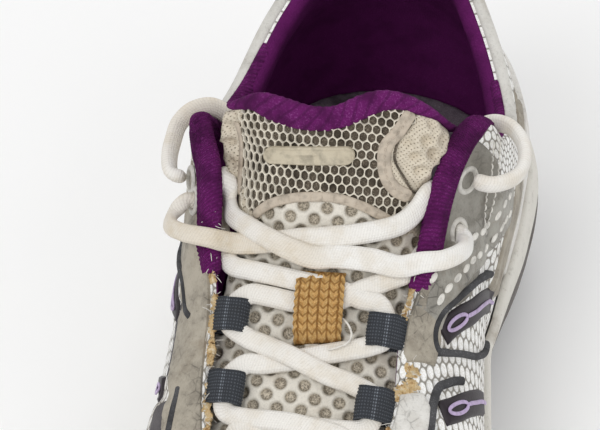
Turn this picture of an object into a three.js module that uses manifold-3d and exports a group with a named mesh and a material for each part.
// Worn running shoe for the right foot, empty and standing on its sole.
// Millimetres. +Z up, toe towards -Y, heel towards +Y, inner side of the foot towards +X.
import * as THREE from 'three';
import Module from 'manifold-3d';
import { mergeVertices } from 'three/addons/utils/BufferGeometryUtils.js';

const wasm = await Module();
wasm.setup();

// ---------------------------------------------------------------- driving dimensions
const LAST_LENGTH = 255; // feather edge, toe to heel
const BALL_WIDTH = 90; // feather edge across the ball of the foot
const EAR_HEIGHT = 101; // top of the inner lacing ear above the floor

// The station table below is drawn for this last; other sizes are graded from it.
const SAMPLE = { length: 255, ball: 90, ear: 101 };
const ACROSS = BALL_WIDTH / SAMPLE.ball;
const ALONG = LAST_LENGTH / SAMPLE.length;
const UP = EAR_HEIGHT / SAMPLE.ear;

const GAP = 0.35; // clear distance where two curved pieces meet
const WALL = 2.2; // mesh, overlay and lining together
const COLLAR_PADDING = 3.2; // extra thickness at the padded collar
const EAR_PADDING = 1.6; // extra thickness at the lacing ears
const PAD_THICKNESS = 3.7; // rubber under the midsole, lugs included
const PAD_GAP = 0.5;
const GROOVE_DEPTH = 2.2;
const INSOLE_THICKNESS = 4;
const WEBBING = 1.2;
const WEBBING_WIDTH = 8;
const WEBBING_REACH = 7.6; // how far a loop stands out from the throat edge
const WEBBING_HEIGHT = 5.9;
const LACE_WIDTH = 5;
const LACE_THICKNESS = 2.8;
const LACE_SIDES = 6;
const EYELET_RADIUS = 2.5;
const TIP_LENGTH = 16;
const TIP_RADIUS = 1.7;

// ---------------------------------------------------------------- the last
// One row per station round the shoe, heel to toe along the inner side and back along the outer.
// foot: where the upper meets the sole. top: the collar, ear or throat edge.
// rise: how the wall leaves the sole, [outwards, upwards]; fall: how it reaches the top, [out, down].
const STATIONS = [
  { foot: [0, 127], top: [0, 120.5, 96], rise: [6, 24], fall: [5, 20] },
  { foot: [22.5, 120.5], top: [16, 115, 91.5], rise: [6, 22], fall: [5, 18] },
  { foot: [34.5, 102], top: [28.5, 98.5, 80], rise: [7, 20], fall: [4, 14] },
  { foot: [36, 77], top: [37, 76, 74], rise: [6, 17], fall: [2, 12] },
  { foot: [35, 57], top: [38, 58, 82], rise: [6, 21], fall: [2, 16] },
  { foot: [34, 42], top: [35.5, 46, 99.5], rise: [7, 23], fall: [3, 22] },
  { foot: [33, 32], top: [31, 38, 101], rise: [8, 23], fall: [4, 22] },
  { foot: [34, 20], top: [27.5, 30, 93], rise: [10, 23], fall: [6, 18] },
  { foot: [36, 6], top: [25.3, 16, 82], rise: [11, 25], fall: [8, 13] },
  { foot: [39, -8], top: [22.3, 2, 74], rise: [11, 27], fall: [11, 9] },
  { foot: [44, -28], top: [22.8, -17, 65], rise: [9, 27], fall: [13, 5] },
  { foot: [46, -52], top: [19.2, -34, 58], rise: [7, 26], fall: [16, 3] },
  { foot: [45.5, -78], top: [14.5, -45.5, 54.2], rise: [6, 24], fall: [19, 2] },
  { foot: [39, -102], top: [10, -51.5, 52.6], rise: [5, 24], fall: [24, 3] },
  { foot: [26.5, -119], top: [5, -54.3, 51.8], rise: [4, 23], fall: [30, 4] },
  { foot: [8, -128], top: [0, -55, 51.6], rise: [3, 22], fall: [34, 4.5] },
  { foot: [-13, -122.5], top: [-5, -54.3, 51.8], rise: [4, 23], fall: [30, 4] },
  { foot: [-29, -107], top: [-10, -51.5, 52.6], rise: [5, 24], fall: [24, 3] },
  { foot: [-39.5, -83], top: [-14.5, -45.5, 54.2], rise: [5, 24], fall: [19, 2] },
  { foot: [-44, -56], top: [-20.4, -34, 58], rise: [4, 25], fall: [16, 3] },
  { foot: [-41, -30], top: [-24, -17, 65], rise: [3, 26], fall: [13, 5] },
  { foot: [-37, -8], top: [-25.4, 2, 74], rise: [5, 26], fall: [11, 9] },
  { foot: [-36, 6], top: [-28.6, 15, 82], rise: [6, 24], fall: [8, 13] },
  { foot: [-36, 19], top: [-31.5, 29, 91], rise: [6, 22], fall: [6, 18] },
  { foot: [-36, 30], top: [-34.5, 36, 93.8], rise: [6, 22], fall: [4, 22] },
  { foot: [-36, 41], top: [-36.5, 44, 92.6], rise: [5, 22], fall: [3, 22] },
  { foot: [-36, 57], top: [-36.8, 58, 77], rise: [4, 20], fall: [2, 16] },
  { foot: [-36.5, 77], top: [-34, 74, 73], rise: [4, 17], fall: [2, 12] },
  { foot: [-34.5, 102], top: [-28, 97.5, 79], rise: [5, 20], fall: [4, 14] },
  { foot: [-22.5, 120.5], top: [-16, 114.5, 91], rise: [6, 22], fall: [5, 18] },
];
const STATION_COUNT = STATIONS.length;
const STEPS_PER_STATION = 3;
const COLUMNS = STATION_COUNT * STEPS_PER_STATION;
const WALL_LEVELS = [0, 0.08, 0.17, 0.3, 0.45, 0.6, 0.75, 0.88, 1];
const LIP_LEVEL = 2; // the midsole's edge stands as high as this wall level

// Heights along the shoe, [y, z]: the feather edge, and the bottom of the midsole.
const FEATHER_HEIGHT = [
  [-135, 20.5], [-110, 16], [-80, 13.5], [-40, 14.5], [0, 18], [50, 22.5], [90, 24.5], [130, 25],
];
const SOLE_BOTTOM = [
  [-134, 15.5], [-118, 10], [-105, 6.6], [-92, 4.2], [-25, 4.2], [-12, 6.7], [8, 9.5], [30, 6.7],
  [42, 4.2], [108, 4.2], [120, 6.2], [134, 10.5],
];
// Width of the midsole outside the feather edge, [y, at the bottom, at mid height].
const FLARE_INNER = [
  [-135, -3, 2], [-100, 1.5, 4], [-60, 3, 5.5], [0, -3, 1.5], [40, -1, 3], [90, 3, 6], [135, 2, 6],
];
const FLARE_OUTER = [
  [-135, -3, 2], [-100, 2, 4.5], [-60, 4, 6.5], [0, 1, 4], [40, 1, 4], [90, 3, 6], [135, 2, 6],
];

const lerp = (a, b, f) => a + (b - a) * f;
const smooth = (f) => f * f * (3 - 2 * f);

// Value of a [y, value...] profile at y: smooth through its rows, and level where they turn.
function profile(rows, y, column = 1) {
  const last = rows.length - 1;
  if (y <= rows[0][0]) return rows[0][column];
  if (y >= rows[last][0]) return rows[last][column];
  const i = rows.findIndex((row) => row[0] > y) - 1;
  const chord = (k) => (rows[k + 1][column] - rows[k][column]) / (rows[k + 1][0] - rows[k][0]);
  const slope = (k) => {
    if (k === 0 || k === last) return chord(k === 0 ? 0 : last - 1);
    const [before, after] = [chord(k - 1), chord(k)];
    return before * after <= 0 ? 0 : (2 * before * after) / (before + after);
  };
  const span = rows[i + 1][0] - rows[i][0];
  const f = (y - rows[i][0]) / span;
  const level = lerp(rows[i][column], rows[i + 1][column], smooth(f));
  return level + span * f * (1 - f) * (slope(i) * (1 - f) - slope(i + 1) * f);
}

// Catmull-Rom value between b and c.
function blend(a, b, c, d, f) {
  return 0.5 * (2 * b + (c - a) * f + (2 * a - 5 * b + 4 * c - d) * f * f + (3 * b - a - 3 * c + d) * f ** 3);
}

function stationAt(s) {
  const base = Math.floor(s);
  const f = s - base;
  const wrap = (k) => ((k % STATION_COUNT) + STATION_COUNT) % STATION_COUNT;
  const rows = [-1, 0, 1, 2].map((k) => STATIONS[wrap(base + k)]);
  const mix = (key, k) => blend(...rows.map((row) => row[key][k]), f);
  const foot = new THREE.Vector3(mix('foot', 0) * ACROSS, mix('foot', 1) * ALONG, 0);
  foot.z = profile(FEATHER_HEIGHT, foot.y);
  return {
    foot,
    top: new THREE.Vector3(mix('top', 0) * ACROSS, mix('top', 1) * ALONG, mix('top', 2) * UP),
    rise: [mix('rise', 0), mix('rise', 1)],
    fall: [mix('fall', 0), mix('fall', 1)],
  };
}

// Level direction that points out of the shoe at station s.
function outwards(s) {
  const step = 0.05;
  const along = stationAt(s + step).foot.sub(stationAt(s - step).foot);
  return new THREE.Vector3(-along.y, along.x, 0).normalize();
}

// Outer skin of the upper: s runs round the shoe, t from the sole (0) to the top edge (1).
function skin(s, t) {
  const { foot, top, rise, fall } = stationAt(s);
  const out = outwards(s);
  const lower = foot.clone().addScaledVector(out, rise[0]);
  lower.z += rise[1];
  const upper = top.clone().addScaledVector(out, fall[0]);
  upper.z -= fall[1];
  return new THREE.CubicBezierCurve3(foot, lower, upper, top).getPoint(t);
}

function skinNormal(s, t) {
  const step = 0.03;
  const low = Math.max(t - step, 0);
  const high = Math.min(t + step, 1);
  const round = skin(s + step, t).sub(skin(s - step, t));
  const up = skin(s, high).sub(skin(s, low));
  return up.cross(round).normalize();
}

// Wall thickness, padded at the collar (heel half) and at the ears.
function wallAt(s, t) {
  const y = stationAt(s).top.y;
  const collar = smooth(THREE.MathUtils.clamp((y - 45) / 25, 0, 1));
  const ear = smooth(THREE.MathUtils.clamp((y - 5) / 20, 0, 1)) * (1 - collar);
  const high = smooth(THREE.MathUtils.clamp((t - 0.35) / 0.4, 0, 1));
  return WALL + high * (collar * COLLAR_PADDING + ear * EAR_PADDING);
}

function lining(s, t) {
  const point = skin(s, t).addScaledVector(skinNormal(s, t), -wallAt(s, t));
  if (t === 0) {
    const foot = stationAt(s).foot;
    return foot.addScaledVector(outwards(s), -WALL);
  }
  return point;
}

// ---------------------------------------------------------------- closed meshes from rings
class Shell {
  constructor() {
    this.points = [];
    this.faces = [];
  }

  ring(points) {
    const first = this.points.length / 3;
    points.forEach((point) => this.points.push(point.x, point.y, point.z));
    return points.map((_, i) => first + i);
  }

  // Quads between two rings; the second lies to the left of the first's direction, seen from outside.
  band(a, b, closed = true) {
    const last = closed ? a.length : a.length - 1;
    for (let i = 0; i < last; i += 1) {
      const j = (i + 1) % a.length;
      this.faces.push(a[i], a[j], b[j], a[i], b[j], b[i]);
    }
  }

  fan(centre, ring, flip = false) {
    for (let i = 0; i < ring.length; i += 1) {
      const j = (i + 1) % ring.length;
      this.faces.push(centre, ...(flip ? [ring[j], ring[i]] : [ring[i], ring[j]]));
    }
  }

  // Fills a ring whose first and middle points are its two ends with rungs across the shoe.
  ladder(ring, columns, height, up) {
    const half = ring.length / 2;
    const at = (index) => new THREE.Vector3().fromArray(this.points, index * 3);
    const rows = [];
    for (let i = 1; i < half; i += 1) {
      const right = at(ring[i]);
      const left = at(ring[ring.length - i]);
      const row = [ring[i]];
      for (let k = 1; k < columns; k += 1) {
        const point = right.clone().lerp(left, k / columns);
        point.z = height(point, right.z);
        row.push(...this.ring([point]));
      }
      row.push(ring[ring.length - i]);
      rows.push(row);
    }
    const quad = (a, b, c, d) => this.faces.push(...(up ? [a, b, c, a, c, d] : [a, c, b, a, d, c]));
    const tri = (a, b, c) => this.faces.push(...(up ? [a, b, c] : [a, c, b]));
    for (let k = 0; k < columns; k += 1) {
      tri(ring[0], rows[0][k + 1], rows[0][k]);
      const end = rows[rows.length - 1];
      tri(ring[half], end[k], end[k + 1]);
      for (let i = 0; i + 1 < rows.length; i += 1) {
        quad(rows[i][k], rows[i][k + 1], rows[i + 1][k + 1], rows[i + 1][k]);
      }
    }
  }

  geometry() {
    const geometry = new THREE.BufferGeometry();
    geometry.setAttribute('position', new THREE.Float32BufferAttribute(this.points, 3));
    geometry.setIndex(this.faces);
    return geometry;
  }
}

const columns = Array.from({ length: COLUMNS }, (_, i) => i / STEPS_PER_STATION);

function solid(geometry) {
  const bare = geometry.index ? geometry.clone() : geometry;
  bare.deleteAttribute('normal');
  bare.deleteAttribute('uv');
  const merged = mergeVertices(bare, 1e-4);
  return new wasm.Manifold(new wasm.Mesh({
    numProp: 3,
    vertProperties: Float32Array.from(merged.attributes.position.array),
    triVerts: Uint32Array.from(merged.index.array),
  }));
}

function fromSolid(manifold) {
  const mesh = manifold.getMesh();
  const geometry = new THREE.BufferGeometry();
  geometry.setAttribute('position', new THREE.Float32BufferAttribute(Array.from(mesh.vertProperties), 3));
  geometry.setIndex(Array.from(mesh.triVerts));
  return geometry;
}

// ---------------------------------------------------------------- upper
// Eyelets through the ears: station and height on the skin.
const EYELETS = {
  inner_top: [6.35, 0.88],
  inner_low: [7.2, 0.83],
  outer_top: [23.6, 0.84],
  outer_low: [22.85, 0.86],
};

function makeUpper() {
  const shell = new Shell();
  const outer = WALL_LEVELS.map((t) => shell.ring(columns.map((s) => skin(s, t))));
  const inner = WALL_LEVELS.map((t) => shell.ring(columns.map((s) => lining(s, t))));
  const rim = shell.ring(columns.map((s) => {
    const edge = skin(s, 1).lerp(lining(s, 1), 0.5);
    const up = skin(s, 1).sub(skin(s, 0.97)).normalize();
    return edge.addScaledVector(up, wallAt(s, 1) * 0.35);
  }));
  const rings = [...outer, rim, ...inner.reverse()];
  rings.forEach((ring, i) => shell.band(rings[(i + 1) % rings.length], ring));
  let upper = solid(shell.geometry());
  Object.values(EYELETS).forEach(([s, t]) => {
    const normal = skinNormal(s, t);
    const drill = new THREE.CylinderGeometry(EYELET_RADIUS, EYELET_RADIUS, 20, 12);
    drill.applyQuaternion(new THREE.Quaternion().setFromUnitVectors(new THREE.Vector3(0, 1, 0), normal));
    const centre = skin(s, t);
    drill.translate(centre.x, centre.y, centre.z);
    upper = upper.subtract(solid(drill));
  });
  return fromSolid(upper);
}

// ---------------------------------------------------------------- midsole, outsole, insole
function flare(s, column) {
  const { foot } = stationAt(s);
  return profile(s <= STATION_COUNT / 2 ? FLARE_INNER : FLARE_OUTER, foot.y, column);
}

function soleRing(s, offset, z) {
  const point = stationAt(s).foot.addScaledVector(outwards(s), offset);
  point.z = z(point.y);
  return point;
}

const soleBottom = (y) => profile(SOLE_BOTTOM, y);
const EDGE_ROUND = 2.5; // radius of the midsole's bottom edge
const LIP_WIDTH = 2.6;

function makeMidsole() {
  const shell = new Shell();
  const lip = (s) => skin(s, WALL_LEVELS[LIP_LEVEL]);
  const outside = (s, distance, drop) => {
    const point = lip(s).addScaledVector(outwards(s), distance);
    point.z -= drop;
    return point;
  };
  const nested = (s, level) => {
    const t = WALL_LEVELS[level];
    return skin(s, t).addScaledVector(skinNormal(s, t), GAP + 0.1);
  };
  const rings = [
    columns.map((s) => soleRing(s, flare(s, 1) - EDGE_ROUND, soleBottom)),
    columns.map((s) => soleRing(s, flare(s, 1), (y) => soleBottom(y) + EDGE_ROUND)),
    columns.map((s) => soleRing(s, flare(s, 2), (y) => lerp(soleBottom(y), lip(s).z, 0.55))),
    columns.map((s) => outside(s, LIP_WIDTH, 1.5)),
    columns.map((s) => outside(s, LIP_WIDTH - 1.1, 0)),
    columns.map((s) => nested(s, 2)),
    columns.map((s) => nested(s, 1)),
    columns.map((s) => soleRing(s, GAP, (y) => profile(FEATHER_HEIGHT, y) - GAP)),
  ].map((points) => shell.ring(points));
  for (let i = 0; i + 1 < rings.length; i += 1) shell.band(rings[i + 1], rings[i]);
  shell.ladder(rings[0], 3, (point) => soleBottom(point.y), false);
  shell.ladder(rings[rings.length - 1], 3, (point) => profile(FEATHER_HEIGHT, point.y) - GAP, true);
  return shell.geometry();
}

function makeInsole() {
  const shell = new Shell();
  const edge = (z) => columns.map((s) => soleRing(s, -WALL - 0.5, z));
  const bed = (y) => profile(FEATHER_HEIGHT, y);
  const bottom = shell.ring(edge(bed));
  const top = shell.ring(edge((y) => bed(y) + INSOLE_THICKNESS));
  shell.band(top, bottom);
  shell.ladder(bottom, 2, (point) => bed(point.y), false);
  shell.ladder(top, 4, (point) => bed(point.y) + INSOLE_THICKNESS - 0.8, true);
  return shell.geometry();
}

// Left and right edge of the midsole's flat bottom at y.
function bottomWidth(y) {
  const ring = columns.map((s) => soleRing(s, flare(s, 1) - EDGE_ROUND, soleBottom));
  const crossings = ring.flatMap((a, i) => {
    const b = ring[(i + 1) % ring.length];
    return (a.y - y) * (b.y - y) <= 0 && a.y !== b.y ? [lerp(a.x, b.x, (y - a.y) / (b.y - a.y))] : [];
  });
  return [Math.min(...crossings), Math.max(...crossings)];
}

// A rubber pad under the midsole with cross grooves and long grooves between its lugs.
// bends: extra rows where the sole curves up.
function makePad(start, end, crossGrooves, longGrooves, bends) {
  const round = 9; // how far the pad's ends take to reach full width
  const ends = [start, start + 2, start + round / 2, end - round / 2, end - 2, end];
  const rows = [...ends, ...bends].map((y) => [y, 0]);
  crossGrooves.forEach((y) => rows.push([y - 1.6, 0], [y - 0.9, 1], [y + 0.9, 1], [y + 1.6, 0]));
  rows.sort((a, b) => a[0] - b[0]);
  const cuts = [[0, 0], [1, 0]];
  longGrooves.forEach((u) => cuts.push([u - 0.024, 0], [u - 0.014, 1], [u + 0.014, 1], [u + 0.024, 0]));
  cuts.sort((a, b) => a[0] - b[0]);
  const shell = new Shell();
  const grid = (bottom) => rows.map(([y, rowCut]) => {
    const [left, right] = bottomWidth(THREE.MathUtils.clamp(y, start + 1, end - 1));
    const near = Math.min(y - start, end - y);
    const width = 0.72 + 0.28 * Math.sqrt(1 - (1 - Math.min(near / round, 1)) ** 2);
    const middle = (left + right) / 2;
    return shell.ring(cuts.map(([u, columnCut]) => {
      const x = middle + (lerp(left, right, u) - middle) * width;
      const top = soleBottom(y) - PAD_GAP;
      const cut = Math.max(rowCut, columnCut) * GROOVE_DEPTH;
      return new THREE.Vector3(x, y, bottom ? top - PAD_THICKNESS + cut : top);
    }));
  });
  const over = grid(false);
  const under = grid(true);
  for (let i = 0; i + 1 < rows.length; i += 1) {
    shell.band(over[i], over[i + 1], false);
    shell.band(under[i + 1], under[i], false);
  }
  const side = (k) => shell.band(over.map((row) => row[k]), under.map((row) => row[k]), false);
  const otherSide = (k) => shell.band(under.map((row) => row[k]), over.map((row) => row[k]), false);
  side(0);
  otherSide(cuts.length - 1);
  shell.band(under[0], over[0], false);
  shell.band(over[rows.length - 1], under[rows.length - 1], false);
  return shell.geometry();
}

// ---------------------------------------------------------------- tongue
// Rows of the tongue's face, bottom to top: [y, z, half width, droop of the edges, thickness].
const TONGUE = [
  [-63, 41.5, 19, 4, 3], [-52, 45.5, 21, 5, 3], [-38, 53.5, 23.5, 6, 3.5], [-24, 60.3, 25, 7, 4],
  [-10, 67, 25.8, 7.5, 4], [2, 73.5, 25.8, 8.5, 4], [12, 81.5, 24.8, 10, 4.5], [20, 90.5, 23.5, 12, 5],
  [27, 100, 24, 13, 6], [33, 109, 27.5, 13.5, 6], [36.5, 115, 27.5, 13.5, 5],
];
const TONGUE_BY_ROW = TONGUE.map((row, i) => [i, ...row]);
const TONGUE_SWEEP = 1.35; // radians each side of the centre line

// Point on the tongue's face; v counts rows, turn is the angle from its centre line.
function tongueFace(v, turn, depth = 0) {
  const at = (column, shift = 0) => profile(TONGUE_BY_ROW, v + shift, column);
  const step = 0.02;
  const slope = Math.atan2(at(2, step) - at(2, -step), at(1, step) - at(1, -step));
  const width = at(3) - depth * 0.4;
  const drop = at(4) * (1 - Math.cos(turn)) + depth;
  const corner = Math.max(v - 8, 0) * 3.2 * Math.sin(turn) ** 2; // the top edge falls away to its corners
  return new THREE.Vector3(
    width * Math.sin(turn),
    at(1) + drop * Math.sin(slope) - corner * Math.cos(slope),
    at(2) - drop * Math.cos(slope) - corner * Math.sin(slope),
  );
}

function makeTongue() {
  const shell = new Shell();
  const stepsAlong = 16;
  const stepsAcross = 8;
  const rings = Array.from({ length: stepsAlong + 1 }, (_, i) => {
    const v = (i / stepsAlong) * (TONGUE.length - 1);
    const turns = Array.from({ length: stepsAcross + 1 }, (_unused, k) => (
      lerp(-TONGUE_SWEEP, TONGUE_SWEEP, k / stepsAcross)));
    const face = turns.map((turn) => tongueFace(v, turn));
    const back = turns.map((turn) => tongueFace(v, turn, profile(TONGUE_BY_ROW, v, 5)));
    return shell.ring([...face, ...back.reverse()]);
  });
  for (let i = 0; i < stepsAlong; i += 1) shell.band(rings[i], rings[i + 1]);
  const cap = (ring, flip) => {
    const across = stepsAcross + 1;
    for (let k = 0; k + 1 < across; k += 1) {
      const [a, b, c, d] = [ring[k], ring[k + 1], ring[2 * across - 2 - k], ring[2 * across - 1 - k]];
      shell.faces.push(...(flip ? [a, c, b, a, d, c] : [a, b, c, a, c, d]));
    }
  };
  cap(rings[0], true);
  cap(rings[stepsAlong], false);
  return shell.geometry();
}

// Point above the tongue's face at (x, y), its normal direction, and how high it is lifted off.
function aboveTongue(x, y, lift) {
  let low = 0;
  let high = TONGUE.length - 1;
  const turn = (v) => Math.asin(THREE.MathUtils.clamp(x / profile(TONGUE_BY_ROW, v, 3), -0.99, 0.99));
  for (let i = 0; i < 40; i += 1) {
    const middle = (low + high) / 2;
    if (tongueFace(middle, turn(middle)).y < y) low = middle;
    else high = middle;
  }
  const at = turn(low);
  const across = tongueFace(low, at + 0.02).sub(tongueFace(low, at - 0.02));
  const along = tongueFace(low + 0.02, at).sub(tongueFace(low - 0.02, at));
  const normal = across.cross(along).normalize();
  return { point: tongueFace(low, at).addScaledVector(normal, lift), normal };
}

// ---------------------------------------------------------------- webbing loops and keeper
// One pair of loops per row, top row first: how far the throat edge is from the middle on each side.
const LOOP_ROWS = [
  { y: 1, inner: 20.6, outer: 23 },
  { y: -15.5, inner: 20.6, outer: 21.6 },
  { y: -30, inner: 17.5, outer: 18 },
  { y: -42.6, inner: 10.8, outer: 10.8 },
];
const NARROW_THROAT = 4.5; // a loop stops this far from the middle where the throat is narrow
const THROAT_EDGE = 0.8; // a loop starts this far inside the throat edge
const loopReach = (halfThroat) => Math.min(WEBBING_REACH, halfThroat - NARROW_THROAT);

function makeWebbingLoop(side, y, halfThroat) {
  const radius = WEBBING_HEIGHT / 2;
  const reach = loopReach(halfThroat);
  const nose = reach - radius;
  const shape = new THREE.Shape();
  shape.moveTo(0, 0);
  shape.lineTo(nose, 0);
  shape.absarc(nose, radius, radius, -Math.PI / 2, Math.PI / 2, false);
  shape.lineTo(0, WEBBING_HEIGHT);
  shape.lineTo(0, WEBBING_HEIGHT - WEBBING);
  shape.lineTo(nose, WEBBING_HEIGHT - WEBBING);
  shape.absarc(nose, radius, radius - WEBBING, Math.PI / 2, -Math.PI / 2, true);
  shape.lineTo(0, WEBBING);
  const extrusion = { depth: WEBBING_WIDTH, bevelEnabled: false, curveSegments: 6 };
  const geometry = new THREE.ExtrudeGeometry(shape, extrusion);
  geometry.translate(0, 0, -WEBBING_WIDTH / 2);
  const start = halfThroat - THROAT_EDGE;
  const { point, normal } = aboveTongue(side * (start - reach / 2), y, GAP + 0.2);
  const inwards = new THREE.Vector3(-side, 0, 0);
  inwards.addScaledVector(normal, side * normal.x).normalize();
  const along = new THREE.Vector3().crossVectors(inwards, normal);
  geometry.applyMatrix4(new THREE.Matrix4().makeBasis(inwards, normal, along));
  point.addScaledVector(inwards, -reach / 2);
  geometry.translate(point.x, point.y, point.z);
  return geometry;
}

const KEEPER = { width: 11, from: -4, to: 10.2, height: 4.2, thickness: 1.4 };

// A strap standing over the tongue like a staple, with the laces under it.
function makeKeeper() {
  const { width, from, to, height, thickness } = KEEPER;
  const low = aboveTongue(0.7, from, GAP + 0.4).point;
  const high = aboveTongue(0.7, to, GAP + 0.4).point;
  const length = low.distanceTo(high);
  const leg = 1.2;
  const outline = [[0, 0], [leg, 0], [leg + 0.4, height], [length - leg - 0.4, height], [length - leg, 0],
    [length, 0], [length - 0.6, height + thickness], [0.6, height + thickness]];
  const shape = new THREE.Shape(outline.map(([x, y]) => new THREE.Vector2(x, y)));
  const geometry = new THREE.ExtrudeGeometry(shape, { depth: width, bevelEnabled: false });
  geometry.translate(0, 0, -width / 2);
  const along = high.sub(low).normalize();
  const up = new THREE.Vector3(1, 0, 0).cross(along);
  const across = new THREE.Vector3().crossVectors(along, up);
  geometry.applyMatrix4(new THREE.Matrix4().makeBasis(along, up, across));
  geometry.translate(low.x, low.y, low.z);
  return geometry;
}

// ---------------------------------------------------------------- laces
// A flat oval band along points; facing gives the direction of its flat side at each point.
function makeBand(points, facing, width, thickness, sides, steps) {
  const route = new THREE.CatmullRomCurve3(points, false, 'centripetal');
  const shell = new Shell();
  const rings = [];
  for (let i = 0; i <= steps; i += 1) {
    const f = i / steps;
    const centre = route.getPoint(f);
    const along = route.getTangent(f);
    const k = Math.min(Math.floor(f * (points.length - 1)), points.length - 2);
    const up = facing[k].clone().lerp(facing[k + 1], f * (points.length - 1) - k);
    const across = new THREE.Vector3().crossVectors(along, up).normalize();
    const over = new THREE.Vector3().crossVectors(across, along).normalize();
    rings.push(shell.ring(Array.from({ length: sides }, (_, j) => {
      const turn = (j / sides) * 2 * Math.PI;
      return centre.clone()
        .addScaledVector(across, Math.cos(turn) * width / 2)
        .addScaledVector(over, Math.sin(turn) * thickness / 2);
    })));
  }
  for (let i = 0; i < steps; i += 1) shell.band(rings[i + 1], rings[i]);
  const route0 = route.getPoint(0);
  const route1 = route.getPoint(1);
  const [first] = shell.ring([route0]);
  const [last] = shell.ring([route1]);
  shell.fan(first, rings[0]);
  shell.fan(last, rings[steps], true);
  return shell.geometry();
}

// A place on a lace: [x, y, lift] above the tongue's face, or a free point with the way its flat side faces.
function lacePlace(place) {
  if (place.length === 3) return aboveTongue(...place);
  return { point: new THREE.Vector3(...place), normal: new THREE.Vector3(...place.slice(3)).normalize() };
}

function makeLaceRun(places, steps) {
  const marks = places.map(lacePlace);
  const points = marks.map((mark) => mark.point);
  const facing = marks.map((mark) => mark.normal);
  return makeBand(points, facing, LACE_WIDTH, LACE_THICKNESS, LACE_SIDES, steps);
}

const LOOP_LIFT = WEBBING_HEIGHT / 2 + GAP + 0.2; // lace centre inside a webbing loop
const CROSS_LIFT = 2.1;
const LOOP_ENTRY = 5.4; // how far above and below a loop's middle the lace turns in
const LACE_INSET = 4.5; // lace centre from a loop's nose

// Distance of the lace from the middle of the shoe inside a loop; side is 1 on the inner side, -1 outer.
function laceSide(row, side) {
  const halfThroat = side > 0 ? row.inner : row.outer;
  return halfThroat - THROAT_EDGE - loopReach(halfThroat) + LACE_INSET;
}

// From under the outer ear, through the keeper, to the highest inner loop.
const KEEPER_RUN = [
  [-17.6, 9.6, 1.8], [-14, 7.8, 2.1], [-8, 6.4, 2.1], [0, 5.9, 2.1], [6, 6.4, 2.3], [11, 7.2, 2.8],
];

// Zigzag between the webbing loops, with the bar across the lowest pair.
function makeLowerLace() {
  const lastRow = LOOP_ROWS.length - 1;
  const runs = [1, -1].map((side) => {
    const places = KEEPER_RUN.map(([x, y, lift]) => [side * x, y, lift]);
    LOOP_ROWS.forEach((loop, row) => {
      const here = row % 2 ? -side : side;
      const x = here * laceSide(loop, here);
      if (row > 0) places.push([0, (LOOP_ROWS[row - 1].y + loop.y) / 2, CROSS_LIFT]);
      places.push([x, loop.y + LOOP_ENTRY, LOOP_LIFT], [x, loop.y, LOOP_LIFT]);
      if (row < lastRow) places.push([x, loop.y - LOOP_ENTRY, LOOP_LIFT]);
    });
    const lowest = LOOP_ROWS[lastRow];
    places.push(
      [-side * (laceSide(lowest, -side) - 1.5), lowest.y - 5.5, LOOP_LIFT - 0.4],
      [0, lowest.y - 6.2, CROSS_LIFT],
    );
    return solid(makeLaceRun(places, 42));
  });
  return fromSolid(runs[0].add(runs[1]));
}

const vector = (values) => new THREE.Vector3(...values);

// The top crossing: each side comes over its ear's edge from the low eyelet and dives under the
// other ear.
const TOP_RUNS = [
  [
    [-36.6, 25.2, 80.8, -0.9, -0.3, 0.3], [-38.4, 22, 81, -0.8, -0.5, 0.4],
    [-38, 17.8, 82, -0.6, -0.6, 0.6], [-34, 14, 84.2, -0.2, -0.5, 0.8],
    [-27.5, 12.4, 85.2, -0.1, -0.5, 0.85], [-19.5, 16, 3], [-12.5, 15.8, 2.1], [-5.3, 15.8, 2.1],
    [1.6, 16.2, 2.1], [7.4, 17.4, 2.1], [12.6, 19.8, 2.1], [16.4, 23, 1.9], [18.6, 25.6, 1.7],
  ],
  [
    [32.8, 25.4, 82.2, 0.85, -0.35, 0.4], [33.4, 20.6, 83, 0.7, -0.5, 0.5],
    [29.4, 14.2, 85, 0.4, -0.6, 0.7], [24, 12.4, 85, 0.1, -0.6, 0.77], [17, 14.8, 4.4],
    [11.2, 13.8, 4.2], [5.6, 13.2, 2.5], [0, 13.4, 2.1], [-7, 15.3, 2.1], [-14.7, 18.8, 2.1],
    [-19.4, 22.4, 1.9],
  ],
];

function makeTopLace() {
  const runs = TOP_RUNS.map((places) => solid(makeLaceRun(places, 28)));
  return fromSolid(runs[0].add(runs[1]));
}

// Lace ends: out of the top eyelet, over the ear and down inside the shoe behind the tongue.
const LACE_ENDS = {
  inner: [
    [33.4, 34.6, 91.6], [37.8, 34.4, 91.2], [42.9, 38.8, 90.2], [44.2, 44, 90.2], [43, 49.8, 90.6],
    [39.6, 53.8, 91.4], [34.8, 55.8, 90.2], [30.4, 55.4, 86.6], [28.4, 54.2, 82], [27.2, 52.8, 76.6],
  ],
  outer: [
    [-37.4, 32.4, 83.8], [-40.8, 33.4, 83.6], [-42.4, 38.4, 83.8], [-42.6, 44, 84.2], [-42, 49.4, 85],
    [-39.2, 53.2, 86], [-35, 55, 86], [-31, 54.8, 83.6], [-28.9, 53.8, 80.6], [-27.7, 52.6, 76.6],
  ],
};

function makeLaceEnd(points) {
  const side = Math.sign(points[0][0]);
  const ear = vector([side * 33, 47, 92]);
  const facing = points.map((point) => vector(point).sub(ear).normalize());
  return makeBand(points.map(vector), facing, LACE_WIDTH, LACE_THICKNESS, LACE_SIDES, 20);
}

function makeTip(points) {
  const end = vector(points[points.length - 1]);
  const along = end.clone().sub(vector(points[points.length - 2])).normalize();
  const tip = new THREE.CylinderGeometry(TIP_RADIUS, TIP_RADIUS * 0.85, TIP_LENGTH, 10);
  tip.applyQuaternion(new THREE.Quaternion().setFromUnitVectors(new THREE.Vector3(0, -1, 0), along));
  const centre = end.addScaledVector(along, TIP_LENGTH / 2 + GAP);
  return tip.translate(centre.x, centre.y, centre.z);
}

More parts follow.
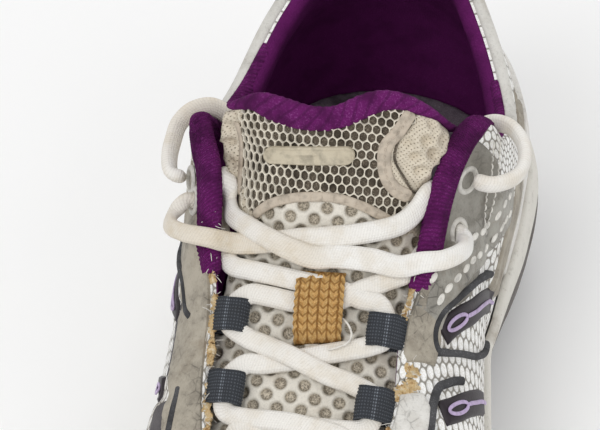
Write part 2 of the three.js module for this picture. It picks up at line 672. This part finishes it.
// ---------------------------------------------------------------- the shoe
const COLOURS = {
  mesh: [0xdedad0, 0.85], foam: [0xd9d6cf, 0.7], rubber: [0x3a3a3c, 0.8], lining: [0x6a2562, 0.9],
  tongue: [0xd0cabd, 0.9], webbing: [0x484c52, 0.75], knit: [0xc8a060, 0.9], lace: [0xf0eeea, 0.8],
  tip: [0xe4e2dc, 0.35],
};

const shoe = new THREE.Group();

function piece(name, geometry, colour) {
  const [color, roughness] = COLOURS[colour];
  const mesh = new THREE.Mesh(geometry, new THREE.MeshStandardMaterial({ color, roughness, metalness: 0 }));
  mesh.name = name;
  shoe.add(mesh);
}

const forefootPad = makePad(-122, -17, [-104, -88, -72, -56, -40], [0.33, 0.67], [-113, -109, -98, -95]);
const heelPad = makePad(34, 124, [54, 72, 90, 108], [0.32, 0.68], [114]);
piece('outsole_forefoot', forefootPad, 'rubber');
piece('outsole_heel', heelPad, 'rubber');
piece('midsole', makeMidsole(), 'foam');
piece('insole', makeInsole(), 'lining');
piece('upper', makeUpper(), 'mesh');
piece('tongue', makeTongue(), 'tongue');
LOOP_ROWS.forEach(({ y, inner, outer }, row) => {
  piece(`webbing_loop_${row + 1}_inner`, makeWebbingLoop(1, y, inner), 'webbing');
  piece(`webbing_loop_${row + 1}_outer`, makeWebbingLoop(-1, y, outer), 'webbing');
});
piece('lace_keeper', makeKeeper(), 'knit');
piece('lace_lower', makeLowerLace(), 'lace');
piece('lace_top', makeTopLace(), 'lace');
Object.entries(LACE_ENDS).forEach(([side, points]) => {
  piece(`lace_end_${side}`, makeLaceEnd(points), 'lace');
  piece(`lace_tip_${side}`, makeTip(points), 'tip');
});

// Centre the shoe's footprint on the origin, with its lugs on z = 0.
shoe.updateMatrixWorld(true);
const bounds = new THREE.Box3();
const resting = shoe.children.filter((mesh) => !/^lace_(end|tip)/.test(mesh.name));
resting.forEach((mesh) => bounds.expandByObject(mesh));
const middle = bounds.getCenter(new THREE.Vector3());
shoe.position.set(-middle.x, -middle.y, -bounds.min.z);

export default shoe;
